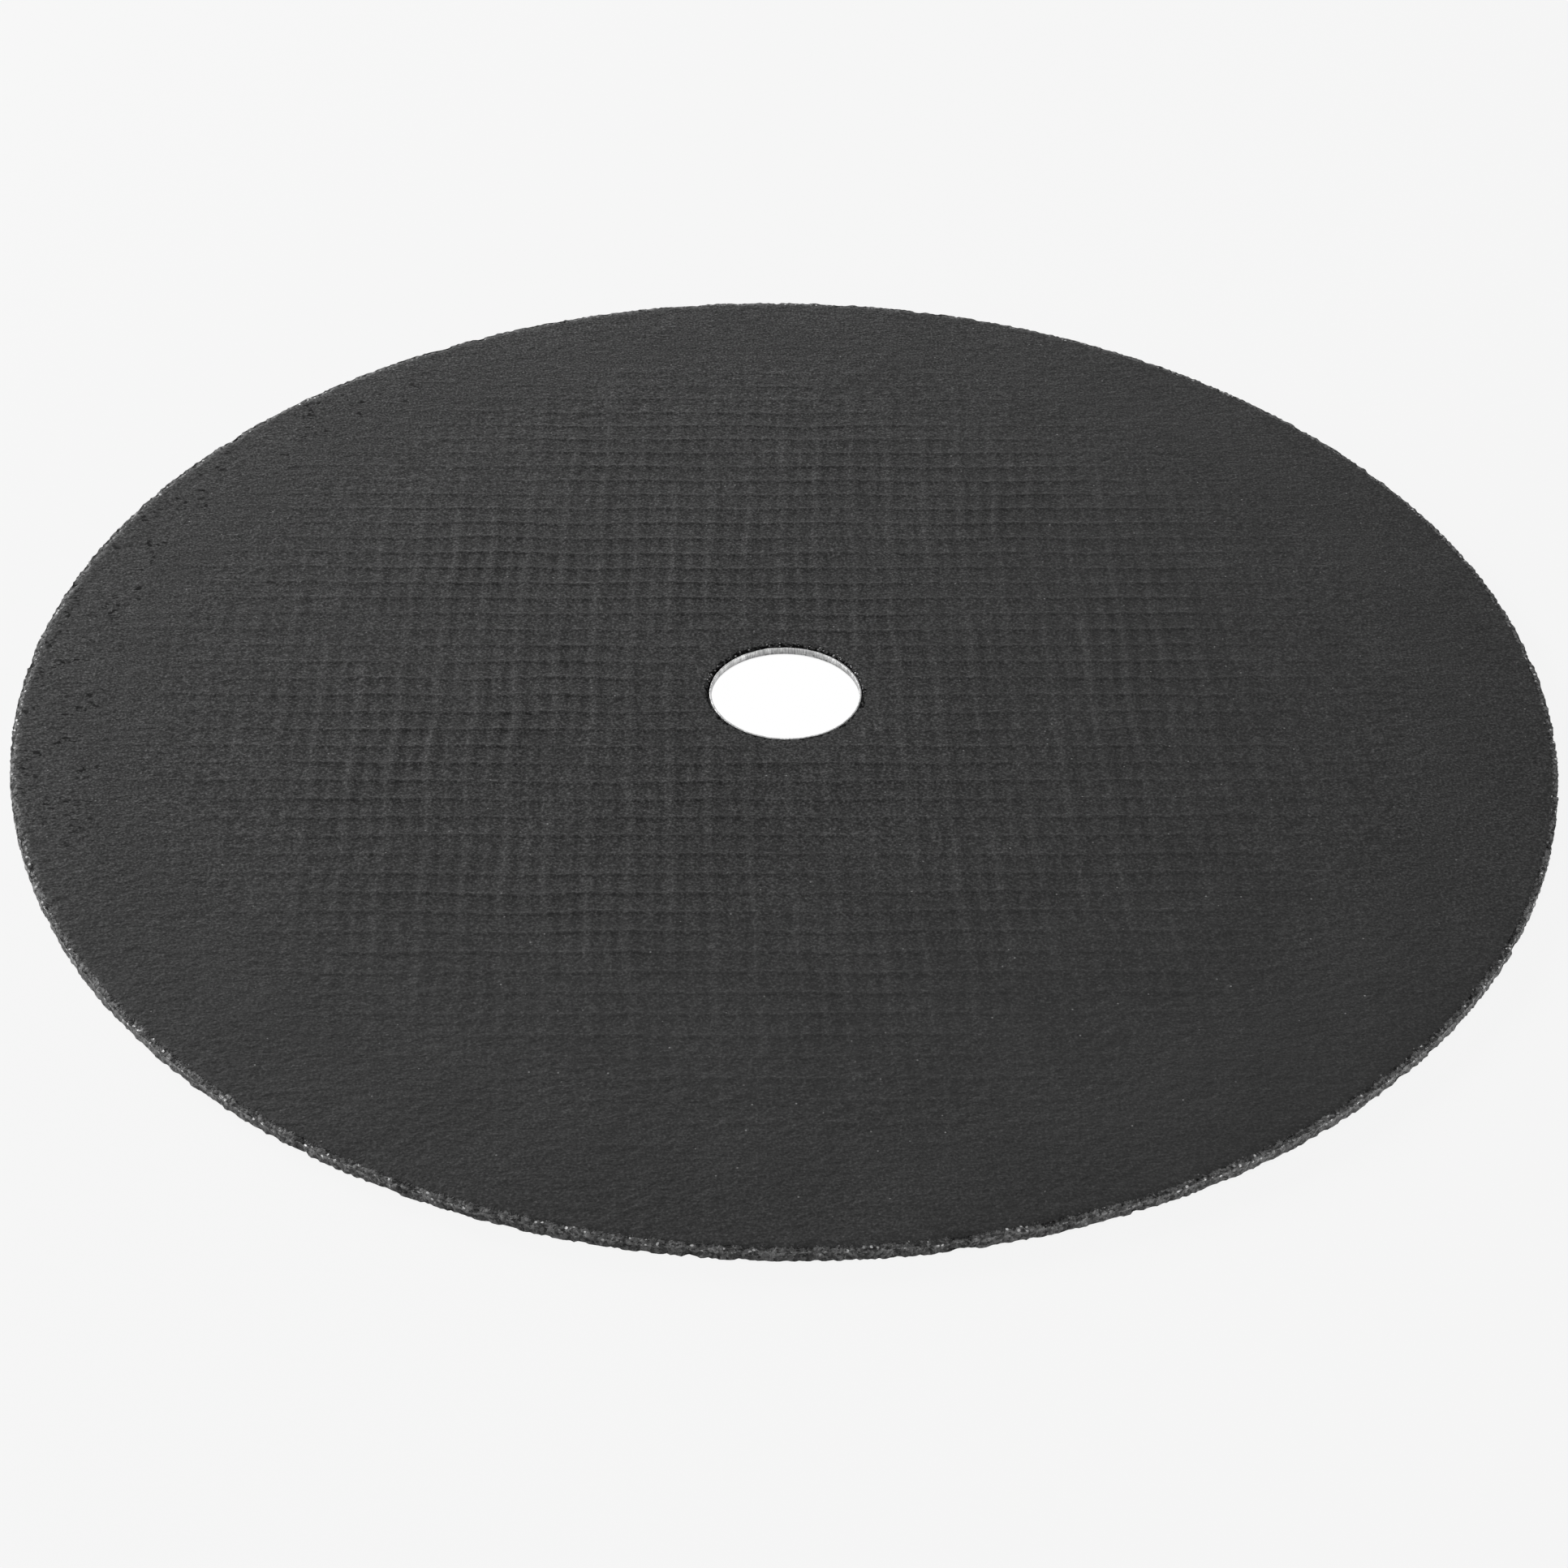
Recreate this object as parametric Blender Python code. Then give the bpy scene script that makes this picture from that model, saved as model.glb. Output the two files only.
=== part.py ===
"""Flat cut-off wheel: a thin reinforced abrasive disc with a pressed sheet-metal ring in its bore.

Metres, +Z up. The origin lies on the bore's axis, in the plane of the underside that the wheel rests on.
The disc is one moulding of abrasive grain, resin and glass mesh. The mesh prints its yarns on the upper face.
The ring lines the bore with a collar, and its flange lies flush in a recess of the underside.
"""

import math

import bmesh
import bpy
from mathutils import Matrix

MM = 0.001

# Abrasive disc
WHEEL_DIAMETER = 230.0 * MM
WHEEL_THICKNESS = 1.9 * MM
RIM_ROUND_WIDTH = 0.8 * MM    # how far in from the rim its rubbed edges start
RIM_ROUND_DROP = 0.3 * MM     # how far those edges fall towards the rim
HOLE_CHAMFER = 0.12 * MM      # crumbled edge of the hole in the upper face

# Imprint of the glass mesh in the upper face
YARN_PITCH_X = 5.81 * MM      # between the yarns that run front to back
YARN_PITCH_Y = 4.17 * MM      # between the yarns that run side to side
YARN_WIDTH = 1.5 * MM         # of the ridge that a yarn prints
MESH_TURN = math.radians(1.7)
MESH_SHIFT = (0.3 * MM, -1.22 * MM)   # of a crossing of two yarns from the bore's axis
CELL_SINK = 0.12 * MM         # depth of a cell's floor below the yarns
FADED_SINK = 0.11 * MM        # the same where the imprint fades, near the rim
CRISP_REACH = 72.0 * MM       # distance from the axis at which the imprint starts to fade
PLAIN_RIM_BAND = 11.0 * MM    # flat band inside the rim, where the imprint ends
PLAIN_CLAMP_BAND = 4.0 * MM   # flat band round the hole, where the imprint ends

# Pressed ring in the bore
BORE_DIAMETER = 22.4 * MM
SHEET_THICKNESS = 0.3 * MM
FLANGE_DIAMETER = 36.0 * MM
FOLD_RADIUS = 0.3 * MM        # inside radius of the fold between collar and flange
COLLAR_RECESS = 0.5 * MM      # from the upper face down to the collar's lip
SHEARED_EDGE_ROUND = 0.08 * MM
FIT_GAP = 0.15 * MM           # between the ring and the disc all round

# Fineness of the round forms
RIM_SEGMENTS = 112
BORE_SEGMENTS = 56
ROUND_STEPS = 3
CORNER_STEPS = 1
SHARP_ANGLE = math.radians(28.0)
SAME_PLACE = 0.002 * MM       # how close a vertex lies to the circle that it belongs to

# Sizes that follow from the ones above
WHEEL_RADIUS = WHEEL_DIAMETER / 2
BORE_RADIUS = BORE_DIAMETER / 2
COLLAR_RADIUS = BORE_RADIUS + SHEET_THICKNESS
FLANGE_RADIUS = FLANGE_DIAMETER / 2
HOLE_RADIUS = COLLAR_RADIUS + FIT_GAP
RECESS_RADIUS = FLANGE_RADIUS + FIT_GAP
RECESS_DEPTH = SHEET_THICKNESS + FIT_GAP
COLLAR_TOP = WHEEL_THICKNESS - COLLAR_RECESS
FOLD_CENTRE = (COLLAR_RADIUS + FOLD_RADIUS, SHEET_THICKNESS + FOLD_RADIUS)
HOLE_MOUTH_RADIUS = HOLE_RADIUS + HOLE_CHAMFER

UP = (0.0, 0.0, 1.0)
DOWN = (0.0, 0.0, -1.0)


def clear_scene():
    """Remove whatever the scene holds."""
    for thing in list(bpy.data.objects):
        bpy.data.objects.remove(thing, do_unlink=True)


def arc(centre, width, height, start, end, steps):
    """Points (r, z) on an ellipse of these half sizes, from angle start to angle end in degrees."""
    points = []
    for i in range(steps + 1):
        angle = math.radians(start + (end - start) * i / steps)
        points.append((centre[0] + width * math.cos(angle), centre[1] + height * math.sin(angle)))
    return points


def sheared_corner(r, z, start, end):
    """Small rounding of the sheet's edge, about a centre at (r, z)."""
    return arc((r, z), SHEARED_EDGE_ROUND, SHEARED_EDGE_ROUND, start, end, CORNER_STEPS)


def rim_profile():
    """Outer wall from the upper face to the underside, with its two rubbed edges."""
    edge_radius = WHEEL_RADIUS - RIM_ROUND_WIDTH
    upper_centre = (edge_radius, WHEEL_THICKNESS - RIM_ROUND_DROP)
    lower_centre = (edge_radius, RIM_ROUND_DROP)
    upper = arc(upper_centre, RIM_ROUND_WIDTH, RIM_ROUND_DROP, 90, 0, ROUND_STEPS)
    lower = arc(lower_centre, RIM_ROUND_WIDTH, RIM_ROUND_DROP, 0, -90, ROUND_STEPS)
    return upper + lower


def hole_profile():
    """Recess for the flange, then the hole's wall up to its chamfer in the upper face."""
    corner = FOLD_RADIUS - FIT_GAP
    recess = [(RECESS_RADIUS, 0.0), (RECESS_RADIUS, RECESS_DEPTH)]
    fillet = arc(FOLD_CENTRE, corner, corner, -90, -180, CORNER_STEPS)
    wall = [(HOLE_RADIUS, WHEEL_THICKNESS - HOLE_CHAMFER), (HOLE_MOUTH_RADIUS, WHEEL_THICKNESS)]
    return recess + fillet + wall


def ring_profile():
    """Closed section of the pressed ring: collar, fold and flange."""
    outside_fold = FOLD_RADIUS + SHEET_THICKNESS
    lip_z = COLLAR_TOP - SHEARED_EDGE_ROUND
    brim_r = FLANGE_RADIUS - SHEARED_EDGE_ROUND
    lip = (sheared_corner(BORE_RADIUS + SHEARED_EDGE_ROUND, lip_z, 180, 90)
           + sheared_corner(COLLAR_RADIUS - SHEARED_EDGE_ROUND, lip_z, 90, 0))
    inner_fold = arc(FOLD_CENTRE, FOLD_RADIUS, FOLD_RADIUS, 180, 270, ROUND_STEPS)
    brim = (sheared_corner(brim_r, SHEET_THICKNESS - SHEARED_EDGE_ROUND, 90, 0)
            + sheared_corner(brim_r, SHEARED_EDGE_ROUND, 0, -90))
    outer_fold = arc(FOLD_CENTRE, outside_fold, outside_fold, 270, 180, ROUND_STEPS)
    return lip + inner_fold + brim + outer_fold


def lathe(bm, profile, segments, closed=False):
    """Turn a profile of (r, z) points about Z."""
    points = [bm.verts.new((r, 0.0, z)) for r, z in profile]
    pairs = list(zip(points, points[1:]))
    if closed:
        pairs.append((points[-1], points[0]))
    edges = [bm.edges.new(pair) for pair in pairs]
    bmesh.ops.spin(bm, geom=points + edges, cent=(0, 0, 0), axis=UP,
                   angle=2 * math.pi, steps=segments, use_merge=True)


def distance_from_axis(vert):
    """Distance of a vertex from the bore's axis."""
    return math.hypot(vert.co.x, vert.co.y)


def circle_edges(bm, point):
    """Edges of the circle that the profile's point (r, z) was turned into."""
    radius, height = point

    def on_circle(vert):
        return (abs(distance_from_axis(vert) - radius) < SAME_PLACE
                and abs(vert.co.z - height) < SAME_PLACE)

    return [edge for edge in bm.edges if all(on_circle(vert) for vert in edge.verts)]


def woven_grid(bm):
    """Flat cells of the glass mesh over the whole face; return them."""
    columns = 2 * math.ceil(WHEEL_RADIUS / YARN_PITCH_X)
    rows = 2 * math.ceil(WHEEL_RADIUS / YARN_PITCH_Y)
    size = Matrix.Diagonal((columns * YARN_PITCH_X / 2, rows * YARN_PITCH_Y / 2, 1, 1))
    place = (Matrix.Translation((*MESH_SHIFT, WHEEL_THICKNESS))
             @ Matrix.Rotation(MESH_TURN, 4, 'Z'))
    before = set(bm.faces)
    bmesh.ops.create_grid(bm, x_segments=columns, y_segments=rows, size=1.0, matrix=place @ size)
    return [face for face in bm.faces if face not in before]


def mesh_imprint(bm):
    """Sunken cells between the mesh's yarns; return the edges round the field of cells."""
    inner = HOLE_MOUTH_RADIUS + PLAIN_CLAMP_BAND
    outer = WHEEL_RADIUS - PLAIN_RIM_BAND

    def in_field(vert):
        return inner < distance_from_axis(vert) < outer and vert.co.z > WHEEL_THICKNESS - SAME_PLACE

    cells = woven_grid(bm)
    field = [cell for cell in cells if all(in_field(vert) for vert in cell.verts)]
    outside = [cell for cell in cells if cell not in set(field)]
    bmesh.ops.delete(bm, geom=outside, context='FACES')

    crisp = [cell for cell in field if cell.calc_center_median().xy.length < CRISP_REACH]
    faded = [cell for cell in field if cell not in set(crisp)]
    bmesh.ops.inset_individual(bm, faces=crisp, thickness=YARN_WIDTH / 2, depth=-CELL_SINK)
    bmesh.ops.poke(bm, faces=faded, offset=-FADED_SINK)

    crests = [edge for edge in bm.edges if all(in_field(vert) for vert in edge.verts)]
    for edge in crests:
        edge.smooth = False
    return [edge for edge in crests if edge.is_boundary]


def fill_band(bm, edges, normal):
    """Flat faces between two closed loops of edges in one plane."""
    bmesh.ops.triangle_fill(bm, edges=edges, use_beauty=True, use_dissolve=False, normal=normal)


def finish_mesh(bm, name, material):
    """Turn the bmesh into a named object, shaded smooth between its sharp edges."""
    bmesh.ops.recalc_face_normals(bm, faces=bm.faces)
    for edge in bm.edges:
        if edge.calc_face_angle() > SHARP_ANGLE:
            edge.smooth = False
    mesh = bpy.data.meshes.new(name)
    bm.to_mesh(mesh)
    bm.free()
    mesh.materials.append(material)
    mesh.shade_smooth()
    bpy.context.scene.collection.objects.link(bpy.data.objects.new(name, mesh))


def surface(name, colour, roughness, metallic):
    """A plain Principled material."""
    material = bpy.data.materials.new(name)
    material.use_nodes = True
    shader = material.node_tree.nodes["Principled BSDF"]
    shader.inputs["Base Color"].default_value = (*colour, 1.0)
    shader.inputs["Roughness"].default_value = roughness
    shader.inputs["Metallic"].default_value = metallic
    return material


def abrasive_disc():
    """The moulded disc: rim, underside with its recess, hole, and the upper face with its imprint."""
    bm = bmesh.new()
    rim, hole = rim_profile(), hole_profile()
    lathe(bm, rim, RIM_SEGMENTS)
    lathe(bm, hole, BORE_SEGMENTS)
    fill_band(bm, circle_edges(bm, rim[-1]) + circle_edges(bm, hole[0]), DOWN)

    rim_top, hole_mouth = circle_edges(bm, rim[0]), circle_edges(bm, hole[-1])
    border = mesh_imprint(bm)
    half_way = (HOLE_RADIUS + WHEEL_RADIUS) / 2
    inner_border = [edge for edge in border if distance_from_axis(edge.verts[0]) < half_way]
    outer_border = [edge for edge in border if distance_from_axis(edge.verts[0]) > half_way]
    fill_band(bm, hole_mouth + inner_border, UP)
    fill_band(bm, outer_border + rim_top, UP)
    finish_mesh(bm, "abrasive_disc", surface("abrasive", (0.046, 0.046, 0.046), 0.8, 0.0))


def bore_ring():
    """The pressed ring that lines the bore."""
    bm = bmesh.new()
    lathe(bm, ring_profile(), BORE_SEGMENTS, closed=True)
    finish_mesh(bm, "bore_ring", surface("tinned_steel", (0.56, 0.56, 0.57), 0.35, 1.0))


clear_scene()
abrasive_disc()
bore_ring()
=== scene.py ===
"""Looks of the flat cut-off wheel: finished meshes, materials, light, floor and camera.

Metres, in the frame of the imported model: +Z up along the bore's axis, the underside on the floor at 0.
"""

import math

import bmesh
import bpy
import numpy as np
from mathutils import Matrix, Vector, noise


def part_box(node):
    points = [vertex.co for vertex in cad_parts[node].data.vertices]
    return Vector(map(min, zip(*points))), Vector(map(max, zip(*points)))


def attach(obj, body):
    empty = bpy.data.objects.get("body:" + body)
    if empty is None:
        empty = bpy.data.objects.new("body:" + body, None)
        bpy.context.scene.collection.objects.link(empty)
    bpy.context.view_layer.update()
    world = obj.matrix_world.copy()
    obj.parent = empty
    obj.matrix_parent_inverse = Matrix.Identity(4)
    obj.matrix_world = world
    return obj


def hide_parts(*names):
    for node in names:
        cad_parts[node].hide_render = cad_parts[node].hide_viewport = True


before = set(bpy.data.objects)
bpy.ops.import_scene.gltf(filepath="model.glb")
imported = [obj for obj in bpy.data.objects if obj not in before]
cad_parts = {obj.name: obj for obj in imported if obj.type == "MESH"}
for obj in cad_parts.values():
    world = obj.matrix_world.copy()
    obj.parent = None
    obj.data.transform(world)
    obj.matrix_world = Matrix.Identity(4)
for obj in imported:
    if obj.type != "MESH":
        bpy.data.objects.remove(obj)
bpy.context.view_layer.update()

MM = 0.001


def radii(node):
    """Smallest and largest distance of a node's vertices from the bore's axis."""
    reach = [math.hypot(vert.co.x, vert.co.y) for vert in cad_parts[node].data.vertices]
    return min(reach), max(reach)


# Sizes read from the frame
HOLE_RADIUS, WHEEL_RADIUS = radii("abrasive_disc")
BORE_RADIUS, FLANGE_RADIUS = radii("bore_ring")
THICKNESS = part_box("abrasive_disc")[1][2]
COLLAR_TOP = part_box("bore_ring")[1][2]

# Section of the pressed ring, and of the recess that holds it
SHEET = 0.3 * MM
FOLD_RADIUS = 0.3 * MM            # inside radius of the fold between collar and flange
FIT_GAP = HOLE_RADIUS - BORE_RADIUS - SHEET
RECESS_RADIUS = FLANGE_RADIUS + FIT_GAP
RECESS_DEPTH = SHEET + FIT_GAP
FOLD_CENTRE = (BORE_RADIUS + SHEET + FOLD_RADIUS, SHEET + FOLD_RADIUS)
LIP_ROUND = 0.08 * MM             # of the sheet's sheared edges
LIP_WAVE = 0.05 * MM              # how far the collar's lip is pressed down in places
LIP_WAVE_LENGTH = 1.5 * MM
RING_POINTS = 360

# Lines of the woven glass mesh that is printed in the faces
PITCH_X = 5.812 * MM              # from one strong front-to-back yarn to the next
PITCH_Y = 4.167 * MM              # between the yarns that run side to side
CREST_X = 0.3 * MM                # where one strong yarn crosses the X axis
CREST_Y = 3.15 * MM               # where one side-to-side yarn crosses the Y axis
LEAN_X = -0.0316                  # slope of the front-to-back yarns
LEAN_Y = 0.028                    # slope of the side-to-side yarns
BOW_X = 0.25                      # curve of the front-to-back yarns, in metres per square metre
BOW_Y = 0.055                     # curve of the side-to-side yarns
WANDER_X = 0.9 * MM               # how far the yarns wander along X
WANDER_Y = 0.7 * MM
WANDER_LENGTH = 14.0 * MM

# Relief of the imprint
SIDE_HEIGHT = 0.14 * MM           # of the side-to-side yarns above the face between them
STRONG_HEIGHT = 0.21 * MM         # of the front-to-back yarns
WEAK_HEIGHT = 0.125 * MM          # of the weaker yarn half-way between two of those
SIDE_HALF_WIDTH = 0.66 * MM
CROSS_HALF_WIDTH = PITCH_X / 4
FACE_SINK = SIDE_HEIGHT + STRONG_HEIGHT    # how far the face between yarns lies below the rim's level
UNDERSIDE_SHARE = 0.5             # of the upper face's relief
PATCH_LENGTH = 9.0 * MM           # of the patches where one set of yarns shows more or less
PATCH_MEAN, PATCH_SWING = 0.9, 0.6
MIDDLE_STRENGTH = 0.9             # of the imprint at the middle of the wheel
STRENGTH_SLOPE = 1.6              # per metre, towards the back left
MOST_STRENGTH = 1.2
CLOUD_LENGTH = 22.0 * MM          # of the clouds where the whole imprint is stronger or weaker
CLOUD_SWING = 0.6

# Distances from the axis: the relief is 0 at the first, and full at the second
CLAMP_FADE = (13.0 * MM, 17.0 * MM)
OUTER_FADE = (106.0 * MM, 62.0 * MM)
CROSS_FADE = (110.0 * MM, 40.0 * MM)
LEVEL_FADE = (112.0 * MM, 80.0 * MM)
OUTER_STRENGTH = 0.2              # share of the imprint that is left at the rim
OUTER_CROSS = 0.6                 # share of the front-to-back yarns that is left there

# Distances from the axis at which the faces' meshes change
HOLE_BAND = 13.1 * MM             # end of the hole's fine rows
FIELD_INNER = 14.0 * MM           # field of cells along the yarns
FIELD_OUTER = 101.0 * MM
BAND_INNER = 102.5 * MM           # plain rows
BAND_OUTER = 111.5 * MM
RIM_BAND = 113.0 * MM             # start of the rim's fine rows
BAND_STEPS = 6
BAND_POINTS = 480
SAME_HEIGHT = 0.001 * MM

# Rim
EDGE_WIDTH = 0.8 * MM             # how far in from the rim its rubbed upper edge starts
EDGE_DROP = 0.15 * MM
LOWER_EDGE_WIDTH = 0.25 * MM
LOWER_EDGE_DROP = 0.15 * MM
WHOLE_MARGIN = 0.5 * MM           # width at both ends of the rim's rows, in which the grains start
RIM_POINTS = 1536
GRAIN = 0.85 * MM
GRAIN_BITE = 0.24 * MM            # depth of the clefts between the rim's grains
SWELL_LENGTH = 2.3 * MM
SWELL = 0.08 * MM
SWELL_MEAN = 0.1
CHIP_LENGTH = 3.1 * MM
CHIP_DEPTH = 0.25 * MM
CHIP_LIMITS = (0.32, 0.5)         # noise at which a chip starts, and at which it is deepest

# Hole
HOLE_POINTS = 420
MOUTH_HEIGHT = THICKNESS - FACE_SINK
MOUTH_BEVEL = 0.1 * MM
MOUTH_WIDTH = 0.7 * MM            # of the fine rows round the mouth
CRUMB = 0.45 * MM
CRUMB_DEPTH = 0.16 * MM
CRUMB_MEAN = 0.2
CRUMB_FADE = (0.75 * MM, 0.15 * MM)   # distances from the hole's wall, from no crumbs to full depth
CRUMB_HEIGHT = (0.8 * MM, 1.5 * MM)   # heights, from no crumbs to full depth
NEAR_CRUMBS = 0.25                # share of the crumbs' depth at the near side of the hole

# Tones, in linear light
FACE_TONE = 0.0345
# light specks: painted glints on the grains of the faces
SPECK_GLINT_TONE = 0.25
# near-black tone: painted shade in small pits and in the hole's mouth
HOLLOW_SHADE_TONE = 0.006
RIM_TONE = 0.08
FLECK_TONE = 0.56
# dark tone: painted shade in the clefts of the rim
CLEFT_SHADE_TONE = 0.012
# dark tone: painted shade along the rim's upper edge
BORDER_SHADE_TONE = 0.01
CRUMB_TONE = 0.3
RING_TONE = 0.48
FLOOR_TONE = 0.8
BACKGROUND = 0.9306

# Lengths of the materials' textures
FACE_CLOUD = 14.0 * MM
FACE_GRAIN = 0.36 * MM
SPECK_CELL = 1.7 * MM
PIT_LENGTH = 0.8 * MM
PIT_GROUP = 5.0 * MM
RIM_CELL = 0.42 * MM
RIM_MOTTLE = 0.2 * MM
FLECK_CELL = 0.8 * MM
CLEFT_LENGTH = 0.55 * MM
BORDER_LENGTH = 1.3 * MM
CRUMB_CELL = 0.34 * MM
GLOSS_LENGTH = 0.5 * MM
FINE_BUMP = 0.28 * MM
WRINKLE = 1.3 * MM
RING_STREAK = 0.16 * MM
RING_PATCH = 1.1 * MM
RING_SPOT = 0.5 * MM
RING_BUMP = 0.25 * MM

# Where the rim's texture and the painted shade of the hole's mouth lie
RIM_TEXTURE = (113.95 * MM, 114.2 * MM)    # distances from the axis, from all face to all rim
RIM_RAGGED = 0.35 * MM            # how far that border strays
BORDER_SHADE_REACH = 114.05 * MM        # of the dark line of painted shade along it
# radii at the hole's mouth, from no painted shade to full
MOUTH_SHADE_REACH = (HOLE_RADIUS + 0.16 * MM, HOLE_RADIUS + 0.08 * MM)
COLLAR_LINE = 0.52 * MM           # height of a dark line round the collar

# Floor
FLOOR_HALF = 6.0
FLOOR_HEIGHT = -0.02 * MM
FLOOR_GLOW = 0.95                 # share of the plain background in what the camera sees of the floor
WHITE_DISC = (11.5 * MM, 11.3 * MM)    # radii, from pale floor to the white that the bore shows

# Each softbox: place, size and power; all of them face the origin
SOFTBOXES = {
    "behind": ((-0.20, 2.00, 0.45), (0.8, 0.4), 6.0),
    "behind_left": ((-0.85, 0.85, 0.36), (0.5, 0.3), 17.0),
    "left": ((-1.90, 0.30, 0.33), (0.7, 0.4), 15.0),
    "left_low": ((-0.92, -0.14, 0.03), (0.5, 0.05), 10.5),
    "right": ((0.80, -0.38, 0.03), (0.4, 0.05), 9.0),
    "front": ((0.0, -0.90, 0.60), (0.6, 0.4), 0.4),
    "top": ((-0.25, -0.1, 1.15), (0.8, 0.8), 5.35),
}
ORIGIN = Vector((0, 0, 0))
WORLD_STRENGTH = 0.05

# Camera, at the photograph's place and angle
ELEVATION = math.radians(38.70)
ROLL = math.radians(0.932)
DISTANCE = 488.6 * MM
AIM = (0.22 * MM, 12.76 * MM)     # how far the picture's centre lies from the wheel's centre
FOCAL_SHARE = 3979 / 1932         # focal length as a share of the picture's width
SENSOR_WIDTH = 36.0               # in millimetres


# Shapes

def arc(centre, width, height, start, end, steps):
    """Points (r, z) on an ellipse of these half sizes, from angle start to angle end in degrees."""
    points = []
    for i in range(steps + 1):
        angle = math.radians(start + (end - start) * i / steps)
        points.append((centre[0] + width * math.cos(angle), centre[1] + height * math.sin(angle)))
    return points


def line(start, end, steps):
    """Points (r, z) on a straight line, both ends included."""
    return [tuple(a + (b - a) * i / steps for a, b in zip(start, end)) for i in range(steps + 1)]


def fade(low, high, value):
    """0 up to low, 1 from high on, and smooth between; low may be the larger."""
    t = np.clip((value - low) / (high - low), 0.0, 1.0)
    return t * t * (3 - 2 * t)


def soft_noise(points, length, seed=0.0):
    """Smooth noise, about -0.6 to 0.6, with features of this length."""
    shift = Vector((seed, seed, seed))
    return np.array([noise.noise(Vector(point) / length + shift) for point in points])


def grain_noise(points, length):
    """0 in the middle of a grain of this length, about 1 in the clefts between grains."""
    return np.array([min(1.0, 1.6 * noise.voronoi(Vector(point) / length)[0][0])
                     for point in points]) ** 3


def turned(profile, count):
    """Rows of points for a profile (r, z) turned about Z, with each row's outward normal (r, z)."""
    angles = np.arange(count) * 2 * math.pi / count
    rows = []
    for i, (r, z) in enumerate(profile):
        before, after = profile[max(i - 1, 0)], profile[min(i + 1, len(profile) - 1)]
        run = np.array((after[0] - before[0], after[1] - before[1]))
        run /= np.hypot(*run)
        points = np.stack((r * np.cos(angles), r * np.sin(angles), np.full(count, z)), axis=1)
        rows.append((points, (-run[1], run[0])))
    return rows


def press_in(points, normal, depth):
    """Move a row of points against its outward normal (r, z) by a depth for each point."""
    reach = np.hypot(points[:, 0], points[:, 1])
    moved = points.copy()
    moved[:, :2] *= ((reach - normal[0] * depth) / reach)[:, None]
    moved[:, 2] -= normal[1] * depth
    return moved


def add_rows(bm, rows, closed=False):
    """Join rows of points, each a full circle, with quads; return the rows of vertices."""
    verts = [[bm.verts.new(point) for point in row] for row in rows]
    pairs = list(zip(verts, verts[1:]))
    if closed:
        pairs.append((verts[-1], verts[0]))
    for lower, upper in pairs:
        for i in range(len(lower)):
            j = (i + 1) % len(lower)
            bm.faces.new((lower[i], lower[j], upper[j], upper[i]))
    return verts


def ring_edges(bm, verts):
    """Edges of the circle that these vertices form."""
    return [bm.edges.get(pair) for pair in zip(verts, verts[1:] + verts[:1])]


def fill(bm, edges, normal):
    """Flat faces between two closed loops of edges."""
    bmesh.ops.triangle_fill(bm, edges=edges, use_beauty=True, use_dissolve=False, normal=normal)


def finish_mesh(bm, name):
    """Turn the bmesh into an object with smooth shading."""
    bmesh.ops.recalc_face_normals(bm, faces=bm.faces)
    mesh = bpy.data.meshes.new(name)
    bm.to_mesh(mesh)
    bm.free()
    mesh.shade_smooth()
    made = bpy.data.objects.new(name, mesh)
    bpy.context.scene.collection.objects.link(made)
    return made


# Woven imprint

def yarn_lines(pitch, crest, offsets):
    """Places of the grid's lines: these offsets from each yarn's crest, over the whole wheel."""
    first = math.floor(-(WHEEL_RADIUS + crest) / pitch) - 1
    last = math.ceil((WHEEL_RADIUS - crest) / pitch) + 1
    return [crest + k * pitch + offset for k in range(first, last + 1) for offset in offsets]


def woven_to_plane(across, along):
    """Point (x, y) where the front-to-back line 'across' meets the side-to-side line 'along'."""
    x, y = across, along
    for _ in range(4):
        x = across + LEAN_X * y + BOW_X * y * y
        y = along + LEAN_Y * x + BOW_Y * (x * x + y * y)
    return x, y


def plane_to_woven(x, y):
    """The reverse of woven_to_plane."""
    return x - LEAN_X * y - BOW_X * y * y, y - LEAN_Y * x - BOW_Y * (x * x + y * y)


def woven_grid(bm, height, across, along, inner, outer):
    """Flat cells along the yarns, between two distances from the axis; return the border edges."""
    verts = {}
    for i, u in enumerate(across):
        for j, v in enumerate(along):
            x, y = woven_to_plane(u, v)
            if inner < math.hypot(x, y) < outer:
                verts[i, j] = bm.verts.new((x, y, height))
    made = []
    for i, j in list(verts):
        corners = [verts.get(key) for key in ((i, j), (i + 1, j), (i + 1, j + 1), (i, j + 1))]
        if all(corners):
            made.append(bm.faces.new(corners))
    for vert in [vert for vert in verts.values() if not vert.link_faces]:
        bm.verts.remove(vert)
    return list({edge for face in made for edge in face.edges if edge.is_boundary})


def split_border(edges):
    """The border's inner loop and its outer loop."""
    half_way = (HOLE_RADIUS + WHEEL_RADIUS) / 2
    inner = [edge for edge in edges if edge.verts[0].co.xy.length < half_way]
    return inner, [edge for edge in edges if edge.verts[0].co.xy.length >= half_way]


def ridge(offset, pitch, crest, half_width):
    """Height of the nearest ridge at these places, as a share of its full height."""
    away = np.abs((offset - crest + pitch / 2) % pitch - pitch / 2)
    return np.where(away < half_width, 0.5 + 0.5 * np.cos(np.pi * away / half_width), 0.0)


def patches(points, seed):
    """Share from 0 to 1 in which one set of yarns shows at each point."""
    return np.clip(PATCH_MEAN + PATCH_SWING * soft_noise(points, PATCH_LENGTH, seed), 0.0, 1.0)


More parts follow.
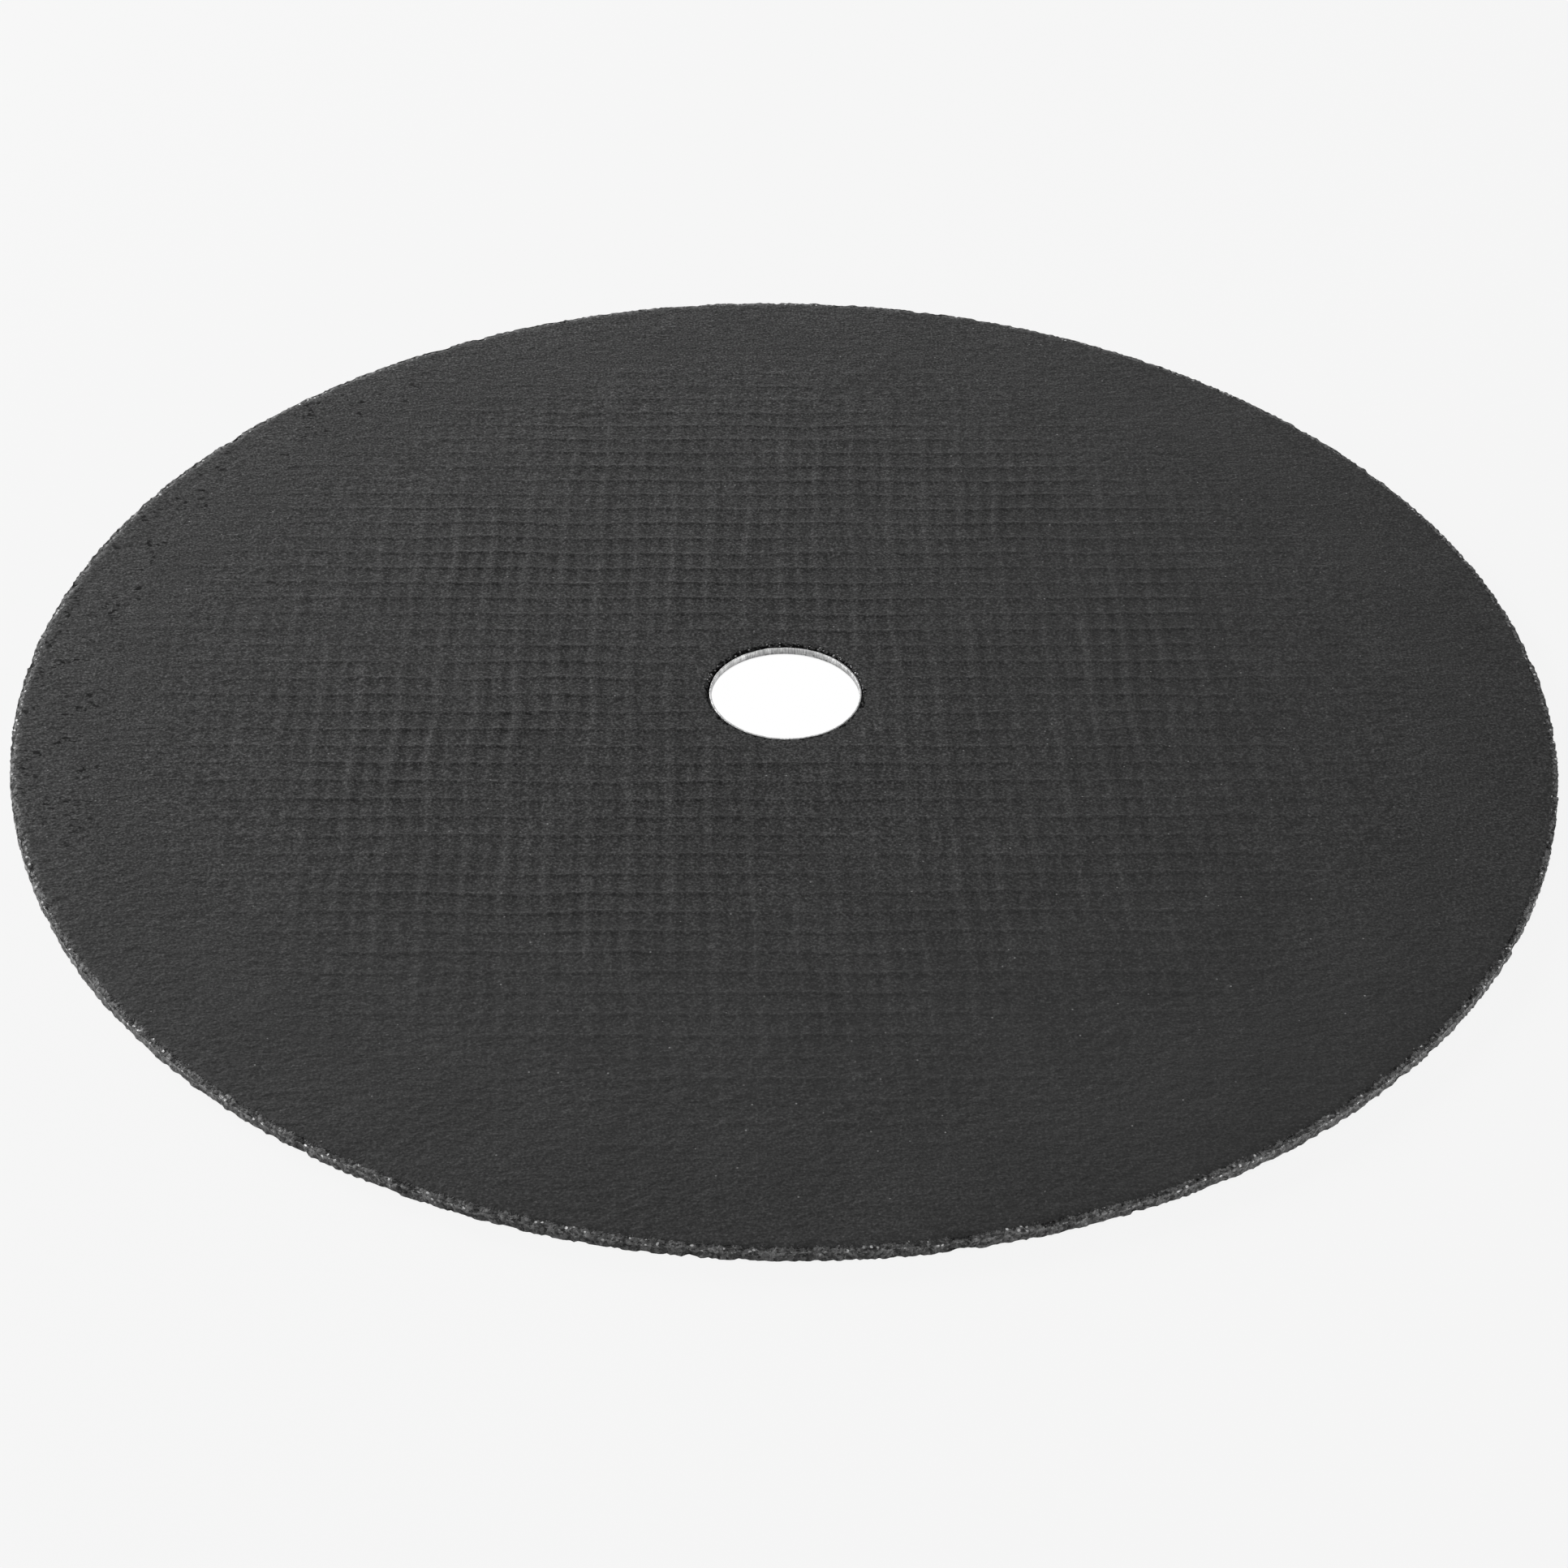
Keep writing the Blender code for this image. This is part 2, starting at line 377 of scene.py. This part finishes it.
def imprint(points):
    """How deep the face lies below the rim's level, and how strong the imprint is, at each point."""
    x, y = points[:, 0], points[:, 1]
    across, along = plane_to_woven(x, y)
    reach = np.hypot(x, y)
    side = SIDE_HEIGHT * ridge(along, PITCH_Y, CREST_Y, SIDE_HALF_WIDTH) ** 2
    cross = STRONG_HEIGHT * ridge(across, PITCH_X, CREST_X, CROSS_HALF_WIDTH)
    cross += WEAK_HEIGHT * ridge(across, PITCH_X, CREST_X + PITCH_X / 2, CROSS_HALF_WIDTH)
    side *= patches(points, 21.0)
    cross *= patches(points, 31.0)
    cross *= OUTER_CROSS + (1 - OUTER_CROSS) * fade(*CROSS_FADE, reach)

    strength = MIDDLE_STRENGTH - STRENGTH_SLOPE * (x - y)
    strength *= 1 + CLOUD_SWING * soft_noise(points, CLOUD_LENGTH, seed=3.0)
    strength *= fade(*CLAMP_FADE, reach)
    strength *= OUTER_STRENGTH + (1 - OUTER_STRENGTH) * fade(*OUTER_FADE, reach)
    strength = np.clip(strength, 0.0, MOST_STRENGTH)
    level = FACE_SINK * fade(*LEVEL_FADE, reach)
    return np.maximum(level - strength * (side + cross), 0.0), strength


# The disc

def rim_rows():
    """The rim from the upper face over both rubbed edges to the underside, broken into grains."""
    upper = (WHEEL_RADIUS - EDGE_WIDTH, THICKNESS - EDGE_DROP)
    lower = (WHEEL_RADIUS - LOWER_EDGE_WIDTH, LOWER_EDGE_DROP)
    profile = (line((RIM_BAND, THICKNESS), (upper[0], THICKNESS), 3)[:-1]
               + arc(upper, EDGE_WIDTH, EDGE_DROP, 90, 0, 4)
               + line((WHEEL_RADIUS, upper[1]), (WHEEL_RADIUS, lower[1]), 5)[1:-1]
               + arc(lower, LOWER_EDGE_WIDTH, LOWER_EDGE_DROP, 0, -90, 2)
               + [(RIM_BAND, 0.0)])
    rows = []
    for (points, normal), (r, _) in zip(turned(profile, RIM_POINTS), profile):
        broken = fade(RIM_BAND + WHOLE_MARGIN, WHEEL_RADIUS - WHOLE_MARGIN, r)
        depth = GRAIN_BITE * grain_noise(points, GRAIN)
        depth += SWELL * (SWELL_MEAN + soft_noise(points, SWELL_LENGTH))
        depth += CHIP_DEPTH * fade(*CHIP_LIMITS, soft_noise(points, CHIP_LENGTH, seed=7.0))
        rows.append(press_in(points, normal, np.maximum(depth, 0.0) * broken))
    return rows


def hole_rows():
    """From the underside over the flange's recess and up the hole to its crumbled mouth."""
    corner = FOLD_RADIUS - FIT_GAP
    mouth = MOUTH_HEIGHT
    profile = ([(RECESS_RADIUS + 0.6 * MM, 0.0), (RECESS_RADIUS, 0.0), (RECESS_RADIUS, RECESS_DEPTH)]
               + line((RECESS_RADIUS, RECESS_DEPTH), (FOLD_CENTRE[0], RECESS_DEPTH), 3)[1:-1]
               + arc(FOLD_CENTRE, corner, corner, -90, -180, 2)
               + line((HOLE_RADIUS, FOLD_CENTRE[1]), (HOLE_RADIUS, mouth - MOUTH_BEVEL), 5)[1:]
               + line((HOLE_RADIUS + MOUTH_BEVEL, mouth), (HOLE_RADIUS + MOUTH_WIDTH, mouth), 4)
               + [(HOLE_BAND, mouth)])
    rows = []
    for (points, normal), (r, z) in zip(turned(profile, HOLE_POINTS), profile):
        broken = fade(HOLE_RADIUS + CRUMB_FADE[0], HOLE_RADIUS + CRUMB_FADE[1], r)
        broken *= fade(*CRUMB_HEIGHT, z)
        far_side = fade(-3 * MM, 4 * MM, points[:, 1] - 0.5 * points[:, 0])
        broken = broken * (NEAR_CRUMBS + (1 - NEAR_CRUMBS) * far_side)
        depth = CRUMB_DEPTH * grain_noise(points, CRUMB)
        depth += CRUMB_DEPTH * (CRUMB_MEAN + soft_noise(points, 3 * CRUMB))
        rows.append(press_in(points, normal, np.maximum(depth, 0.0) * broken))
    return rows


def woven_face(bm, height, across, along, inner, hole_loop, rim_loop, normal):
    """One flat face of the disc, with cells along the yarns, between the hole's loop and the rim's."""
    inner_border, outer_border = split_border(woven_grid(bm, height, across, along, inner, FIELD_OUTER))
    band = turned(line((BAND_INNER, height), (BAND_OUTER, height), BAND_STEPS), BAND_POINTS)
    band = add_rows(bm, [points for points, _ in band])
    fill(bm, hole_loop + inner_border, normal)
    fill(bm, outer_border + ring_edges(bm, band[0]), normal)
    fill(bm, ring_edges(bm, band[-1]) + rim_loop, normal)


def abrasive_disc():
    """The moulded disc as one closed mesh, with the woven imprint in relief on both faces."""
    bm = bmesh.new()
    rim = add_rows(bm, rim_rows())
    hole = add_rows(bm, hole_rows())
    rim_top, rim_under = ring_edges(bm, rim[0]), ring_edges(bm, rim[-1])
    hole_under, hole_top = ring_edges(bm, hole[0]), ring_edges(bm, hole[-1])

    across_ridge = [SIDE_HALF_WIDTH * k for k in (-1.0, -0.5, 0.0, 0.5, 1.0)]
    woven_face(bm, THICKNESS, yarn_lines(PITCH_X / 8, CREST_X, (0.0,)),
               yarn_lines(PITCH_Y, CREST_Y, across_ridge), FIELD_INNER, hole_top, rim_top, (0, 0, 1))
    woven_face(bm, 0.0, yarn_lines(PITCH_X / 2, CREST_X, (0.0,)),
               yarn_lines(PITCH_Y / 2, CREST_Y, (0.0,)), RECESS_RADIUS + 1.6 * MM,
               hole_under, rim_under, (0, 0, -1))

    made = finish_mesh(bm, "disc")
    points = np.empty(len(made.data.vertices) * 3)
    made.data.vertices.foreach_get("co", points)
    points = points.reshape(-1, 3)
    reach = np.hypot(points[:, 0], points[:, 1])
    level = fade(RIM_BAND, RIM_BAND - 2 * MM, reach)
    top = (points[:, 2] > THICKNESS - SAME_HEIGHT) & (reach < RIM_BAND) & (reach > HOLE_BAND)
    under = (points[:, 2] < SAME_HEIGHT) & (reach < RIM_BAND) & (reach > RECESS_RADIUS + MM)
    depth, strength = imprint(points)
    wander = np.stack((WANDER_X * soft_noise(points, WANDER_LENGTH, 11.0),
                       WANDER_Y * soft_noise(points, WANDER_LENGTH, 17.0)), axis=1)
    points[:, :2] += wander * (strength * top)[:, None]
    points[top, 2] -= (depth * level)[top]
    level *= fade(RECESS_RADIUS + MM, RECESS_RADIUS + 7 * MM, reach)
    points[under, 2] += UNDERSIDE_SHARE * (depth * level)[under]
    made.data.vertices.foreach_set("co", points.ravel())
    made.data.update()
    return made


# The ring

def bore_ring():
    """The pressed ring: collar with a slightly uneven lip, fold and flange."""
    outside = FOLD_RADIUS + SHEET
    lip_z = COLLAR_TOP - LIP_ROUND
    brim = FLANGE_RADIUS - LIP_ROUND
    profile = (arc((BORE_RADIUS + LIP_ROUND, lip_z), LIP_ROUND, LIP_ROUND, 180, 90, 3)
               + arc((BORE_RADIUS + SHEET - LIP_ROUND, lip_z), LIP_ROUND, LIP_ROUND, 90, 0, 3)
               + arc(FOLD_CENTRE, FOLD_RADIUS, FOLD_RADIUS, 180, 270, 4)
               + arc((brim, SHEET - LIP_ROUND), LIP_ROUND, LIP_ROUND, 90, 0, 2)
               + arc((brim, LIP_ROUND), LIP_ROUND, LIP_ROUND, 0, -90, 2)
               + arc(FOLD_CENTRE, outside, outside, 270, 180, 7))
    rows = []
    for points, _ in turned(profile, RING_POINTS):
        lip = fade(COLLAR_TOP - 0.4 * MM, COLLAR_TOP, points[:, 2])
        points[:, 2] -= LIP_WAVE * lip * (0.5 + soft_noise(points * (1, 1, 0), LIP_WAVE_LENGTH))
        rows.append(points)
    bm = bmesh.new()
    add_rows(bm, rows, closed=True)
    return finish_mesh(bm, "ring")


# Materials

class Graph:
    """A material's nodes, made one after another."""

    def __init__(self, name):
        self.material = bpy.data.materials.new(name)
        self.material.use_nodes = True
        self.tree = self.material.node_tree
        self.shader = self.tree.nodes["Principled BSDF"]
        self.place = self.node("ShaderNodeTexCoord", {}, "Object")

    def put(self, socket, value):
        """Give a socket a plain value, or link it to another node's output."""
        if isinstance(value, bpy.types.NodeSocket):
            self.tree.links.new(value, socket)
        else:
            socket.default_value = value

    def node(self, kind, inputs, output=0, **settings):
        """Make a node and return one of its outputs."""
        made = self.tree.nodes.new(kind)
        for name, value in settings.items():
            setattr(made, name, value)
        for name, value in inputs.items():
            self.put(made.inputs[name], value)
        return made.outputs[output]

    def math(self, operation, *values):
        return self.node("ShaderNodeMath", dict(enumerate(values)), operation=operation)

    def add(self, first, second):
        return self.math('ADD', first, second)

    def times(self, first, second):
        return self.math('MULTIPLY', first, second)

    def shifted(self, seed):
        """The object's coordinates, moved so that two textures don't match."""
        return self.node("ShaderNodeVectorMath", {0: self.place, 1: (seed, 0.7 * seed, 0.3 * seed)})

    def noise(self, length, detail=1.0, place=None, seed=0.0):
        """Noise about 0.25 to 0.75 with features of this length, at a given place or a shifted one."""
        return self.node("ShaderNodeTexNoise",
                         {"Vector": place or self.shifted(seed), "Scale": 1 / length,
                          "Detail": detail, "Roughness": 0.6})

    def cells(self, length, seed=0.0):
        """Distance to the nearest cell's centre, in cell lengths, and a random value for that cell."""
        distance = self.node("ShaderNodeTexVoronoi",
                             {"Vector": self.shifted(seed), "Scale": 1 / length})
        return distance, distance.node.outputs["Color"]

    def ramp(self, value, low, high, start=0.0, end=1.0, smooth=True):
        """Map low..high of a value to start..end, and hold it outside."""
        return self.node("ShaderNodeMapRange",
                         {"Value": value, "From Min": low, "From Max": high,
                          "To Min": start, "To Max": end},
                         interpolation_type='SMOOTHSTEP' if smooth else 'LINEAR')

    def mix(self, share, first, second):
        """first where share is 0 and second where it is 1, for plain numbers."""
        return self.node("ShaderNodeMix", {"Factor": share, "A": first, "B": second}, "Result")

    def grey(self, value):
        return self.node("ShaderNodeCombineColor", {"Red": value, "Green": value, "Blue": value})

    def flat(self, share):
        """The object's coordinates with X shortened, so that a texture is drawn out along X."""
        return self.node("ShaderNodeVectorMath", {0: self.place, 1: (share, 1.0, 1.0)},
                         operation='MULTIPLY')

    def reach(self):
        """Distance from the bore's axis."""
        flat = self.node("ShaderNodeVectorMath", {0: self.place, 1: (1.0, 1.0, 0.0)},
                         operation='MULTIPLY')
        return self.node("ShaderNodeVectorMath", {0: flat}, "Value", operation='LENGTH')

    def axis(self, name):
        return self.node("ShaderNodeSeparateXYZ", {"Vector": self.place}, name)

    def bump(self, height):
        """Shade the surface as if it stood up by this height."""
        self.put(self.shader.inputs["Normal"],
                 self.node("ShaderNodeBump", {"Strength": 1.0, "Distance": 1.0, "Height": height}))


def face_tone(g, reach, side, back):
    """Tone of the faces, with painted glints on grains and painted shade in small pits, and where those
    pits are.
    """
    cloud = g.ramp(g.noise(FACE_CLOUD, 2.0), 0.3, 0.7, 0.93, 1.07)
    grain = g.math('POWER', g.ramp(g.noise(FACE_GRAIN, 2.0), 0.28, 0.74, 0.0, 1.0, smooth=False), 2.2)
    share = g.times(g.ramp(back, -85 * MM, -20 * MM, 0.35, 0.75),
                    g.ramp(side, -10 * MM, 70 * MM, 1.0, 0.65))
    face = g.times(g.times(FACE_TONE, cloud), g.mix(share, 1.0, g.times(grain, 4.0)))

    # Light specks on the faces: painted glints on the grains
    away, pick = g.cells(SPECK_CELL)
    glint_speck = g.times(g.ramp(away, 0.10, 0.05), g.ramp(pick, 0.66, 0.75))
    face = g.mix(g.times(glint_speck, 0.8), face, SPECK_GLINT_TONE)

    # Near-black spots: painted shade in small pits, only near the left edge
    pit_shade = g.times(g.ramp(g.noise(PIT_LENGTH, 1.0, g.flat(0.7)), 0.405, 0.365),
                  g.ramp(g.noise(PIT_GROUP), 0.5, 0.58))
    outer = g.times(g.ramp(side, -45 * MM, -75 * MM), g.ramp(reach, 97 * MM, 105 * MM))
    outer = g.times(outer, g.ramp(back, -60 * MM, -20 * MM, 0.2, 1.0))
    pit_shade = g.times(pit_shade, outer)
    return g.mix(pit_shade, face, HOLLOW_SHADE_TONE), pit_shade


def rim_tone(g, height):
    """Tone of the broken rim, with painted light and shade up its wall and painted shade in its clefts,
    and the height that its grains add.
    """
    away, pick = g.cells(RIM_CELL, 1.0)
    grains = g.ramp(pick, 0.2, 0.8, 0.45, 1.55, smooth=False)
    broken = g.times(away, -0.08 * MM)
    rim = g.times(g.times(RIM_TONE, grains), g.ramp(g.noise(RIM_MOTTLE, 1.0), 0.3, 0.7, 0.75, 1.25))
    # Painted light and shade: the wall lighter near the top and darker low towards the floor
    rim = g.times(rim, g.ramp(height, 0.8 * MM, 1.5 * MM, 0.74, 1.22))

    # Light flecks, which fade low on the wall with the painted shade there
    away, pick = g.cells(FLECK_CELL, 3.0)
    fleck = g.times(g.ramp(away, 0.32, 0.2), g.ramp(pick, 0.56, 0.64))
    rim = g.mix(g.times(fleck, g.ramp(height, 1.1 * MM, 1.6 * MM, 0.15, 1.0)), rim, FLECK_TONE)
    # Dark patches: painted shade in the clefts between the rim's grains
    cleft_shade = g.ramp(g.noise(CLEFT_LENGTH, 1.0, seed=9.0), 0.42, 0.34)
    return g.mix(g.times(cleft_shade, 0.8), rim, CLEFT_SHADE_TONE), broken


def mouth_shade_tone(g, reach, side, back):
    """Painted black shade round the hole's mouth, with light crumbs on its far side, and where it lies.
    """
    away, pick = g.cells(CRUMB_CELL, 6.0)
    crumbs = g.add(reach, g.ramp(pick, 0.2, 0.8, -0.65 * MM, 0.5 * MM, False))
    spread = g.ramp(g.add(back, g.times(side, -0.7)), -4 * MM, 12 * MM, -0.1 * MM, 0.2 * MM)
    mouth_shade = g.ramp(g.math('SUBTRACT', crumbs, spread), *MOUTH_SHADE_REACH)
    light = g.times(g.ramp(pick, 0.29, 0.26), g.ramp(away, 0.5, 0.35))
    far_side = g.ramp(back, -2 * MM, 3 * MM)
    return g.mix(g.times(light, far_side), HOLLOW_SHADE_TONE, CRUMB_TONE), mouth_shade


def abrasive_material():
    """Black resin with fine grain: plain on the faces, lighter on the rim, and painted black shade at
    the hole's mouth.
    """
    g = Graph("abrasive_face")
    reach, height, side, back = g.reach(), g.axis("Z"), g.axis("X"), g.axis("Y")
    face, pit_shade = face_tone(g, reach, side, back)
    rim, broken = rim_tone(g, height)
    hole, mouth_shade = mouth_shade_tone(g, reach, side, back)

    stray = g.ramp(g.noise(0.5 * MM, 2.0, seed=2.0), 0.25, 0.75, -RIM_RAGGED, RIM_RAGGED, False)
    ragged = g.add(reach, stray)
    on_rim = g.ramp(ragged, *RIM_TEXTURE)
    # Dark line where the face turns into the rim: painted shade, fainter at the near side
    border = g.ramp(g.math('ABSOLUTE', g.add(ragged, -BORDER_SHADE_REACH)), 0.25 * MM, 0.1 * MM)
    border = g.times(border, g.ramp(g.noise(BORDER_LENGTH, 1.0, seed=10.0), 0.46, 0.56))
    border = g.times(border, g.ramp(back, -108 * MM, -75 * MM, 0.1, 0.85))

    # Painted shade: black at the hole's mouth, and a dark line along the rim's edge
    tone = g.mix(mouth_shade, g.mix(border, g.mix(on_rim, face, rim), BORDER_SHADE_TONE), hole)
    gloss = g.ramp(g.noise(GLOSS_LENGTH, 2.0, seed=8.0), 0.3, 0.7, 0.52, 0.72)
    # no reflection where pits and the hole's mouth are painted into shade
    hollow = g.math('MAXIMUM', g.times(pit_shade, 0.6), mouth_shade)
    g.put(g.shader.inputs["Base Color"], g.grey(tone))
    g.put(g.shader.inputs["Roughness"], gloss)
    g.put(g.shader.inputs["Specular IOR Level"], g.mix(hollow, 0.06, 0.0))

    fine = g.noise(FINE_BUMP, 2.0, seed=12.0)
    wrinkles = g.times(g.noise(WRINKLE, 3.0, g.flat(0.6)),
                       g.ramp(reach, 50 * MM, 95 * MM, 0.05 * MM, 0.26 * MM))
    on_face = g.add(g.times(fine, 0.020 * MM), wrinkles)
    g.bump(g.mix(on_rim, on_face, g.add(broken, g.times(fine, 0.03 * MM))))
    return g.material


def ring_material():
    """Bright pressed sheet with fine streaks up the collar, and painted shade on its right end."""
    g = Graph("pressed_metal")
    turn = g.math('ARCTAN2', g.axis("Y"), g.axis("X"))
    height, reach = g.axis("Z"), g.reach()
    around = g.node("ShaderNodeCombineXYZ", {"X": g.times(turn, BORE_RADIUS),
                                             "Y": g.times(height, 0.12), "Z": g.times(reach, 0.12)})
    streaks = g.noise(RING_STREAK, 2.0, around)
    blotches = g.noise(RING_PATCH, 2.0, around)
    tone = g.times(g.ramp(streaks, 0.35, 0.65, 0.6, 1.25, False),
                   g.ramp(blotches, 0.3, 0.7, 0.8, 1.12))
    away, pick = g.cells(RING_SPOT, 2.0)
    spot = g.times(g.ramp(away, 0.4, 0.2), g.ramp(pick, 0.58, 0.66))
    low = g.ramp(height, 1.1 * MM, 0.6 * MM, 0.1, 1.0)
    tone = g.times(g.times(RING_TONE, tone), g.mix(g.times(spot, low), 1.0, 0.3))
    mark = g.ramp(g.math('ABSOLUTE', g.add(height, -COLLAR_LINE)), 0.07 * MM, 0.02 * MM)
    tone = g.times(tone, g.mix(g.times(mark, g.ramp(blotches, 0.4, 0.55)), 1.0, 0.35))
    # Painted shade: the collar's right end duller
    tone = g.times(tone, g.ramp(g.axis("X"), 6.5 * MM, 9.7 * MM, 1.0, 0.65))
    g.put(g.shader.inputs["Base Color"], g.grey(tone))
    g.put(g.shader.inputs["Roughness"], g.ramp(blotches, 0.3, 0.7, 0.42, 0.6))
    g.shader.inputs["Metallic"].default_value = 0.55
    g.bump(g.add(g.times(streaks, 0.012 * MM), g.times(g.noise(RING_BUMP, 1.0), 0.006 * MM)))
    return g.material


disc = abrasive_disc()
disc.data.materials.append(abrasive_material())
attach(disc, "root")
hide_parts("abrasive_disc")

ring = bore_ring()
ring.data.materials.append(ring_material())
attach(ring, "root")
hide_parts("bore_ring")


# Floor

def direct_rays(tree):
    """1 for camera, mirror and glass rays, which see the plain background."""
    path = tree.nodes.new("ShaderNodeLightPath")
    total = path.outputs["Is Camera Ray"]
    for name in ("Is Glossy Ray", "Is Transmission Ray"):
        larger = tree.nodes.new("ShaderNodeMath")
        larger.operation = 'MAXIMUM'
        tree.links.new(total, larger.inputs[0])
        tree.links.new(path.outputs[name], larger.inputs[1])
        total = larger.outputs[0]
    return total


def floor():
    """Pale plane that takes a faint shadow, and is white where the bore shows it."""
    bm = bmesh.new()
    bmesh.ops.create_grid(bm, x_segments=1, y_segments=1, size=FLOOR_HALF,
                          matrix=Matrix.Translation((0, 0, FLOOR_HEIGHT)))
    made = finish_mesh(bm, "floor")
    g = Graph("pale_floor")
    white = g.ramp(g.reach(), *WHITE_DISC)
    g.shader.inputs["Base Color"].default_value = (FLOOR_TONE, FLOOR_TONE, FLOOR_TONE, 1.0)
    g.shader.inputs["Roughness"].default_value = 0.9
    g.shader.inputs["Specular IOR Level"].default_value = 0.0
    glow = g.node("ShaderNodeEmission",
                  {"Color": g.grey(g.mix(white, BACKGROUND, 1.0)), "Strength": 1.0})
    seen = g.times(direct_rays(g.tree), g.mix(white, FLOOR_GLOW, 1.0))
    both = g.node("ShaderNodeMixShader", {0: seen, 1: g.shader.outputs[0], 2: glow})
    g.put(g.tree.nodes["Material Output"].inputs["Surface"], both)
    made.data.materials.append(g.material)
    return made


floor()


# Light

def softbox(name, place, size, power):
    """A rectangular area light at a place, turned to the origin."""
    light = bpy.data.lights.new(name, 'AREA')
    light.shape = 'RECTANGLE'
    light.size, light.size_y = size
    light.energy = power
    made = bpy.data.objects.new(name, light)
    made.location = place
    made.rotation_euler = (ORIGIN - Vector(place)).to_track_quat('-Z', 'Y').to_euler()
    bpy.context.scene.collection.objects.link(made)


def studio_world():
    """Faint even light, and the plain background for what looks straight at it."""
    world = bpy.data.worlds.new("studio")
    world.use_nodes = True
    tree = world.node_tree
    plain = tree.nodes["Background"]
    plain.inputs["Color"].default_value = (1.0, 1.0, 1.0, 1.0)
    plain.inputs["Strength"].default_value = WORLD_STRENGTH
    seen = tree.nodes.new("ShaderNodeBackground")
    seen.inputs["Color"].default_value = (BACKGROUND, BACKGROUND, BACKGROUND, 1.0)
    seen.inputs["Strength"].default_value = 1.0
    choice = tree.nodes.new("ShaderNodeMixShader")
    tree.links.new(direct_rays(tree), choice.inputs[0])
    tree.links.new(plain.outputs[0], choice.inputs[1])
    tree.links.new(seen.outputs[0], choice.inputs[2])
    tree.links.new(choice.outputs[0], tree.nodes["World Output"].inputs["Surface"])
    return world


for name, (place, size, power) in SOFTBOXES.items():
    softbox(name, place, size, power)
bpy.context.scene.world = studio_world()


# Camera

def photo_camera():
    """Camera at the photograph's place, turned by its elevation and roll."""
    forward = Vector((0, math.cos(ELEVATION), -math.sin(ELEVATION)))
    level_up = Vector((0, math.sin(ELEVATION), math.cos(ELEVATION)))
    level_right = Vector((1, 0, 0))
    right = math.cos(ROLL) * level_right + math.sin(ROLL) * level_up
    up = math.cos(ROLL) * level_up - math.sin(ROLL) * level_right
    place = -DISTANCE * forward - AIM[0] * right - AIM[1] * up

    lens = bpy.data.cameras.new("camera")
    lens.sensor_width = SENSOR_WIDTH
    lens.lens = SENSOR_WIDTH * FOCAL_SHARE
    lens.clip_start = 0.01
    camera = bpy.data.objects.new("camera", lens)
    turn = Matrix((right, up, -forward)).transposed().to_4x4()
    camera.matrix_world = Matrix.Translation(place) @ turn
    bpy.context.scene.collection.objects.link(camera)
    return camera


bpy.context.scene.camera = photo_camera()
bpy.context.scene.view_settings.view_transform = 'Standard'
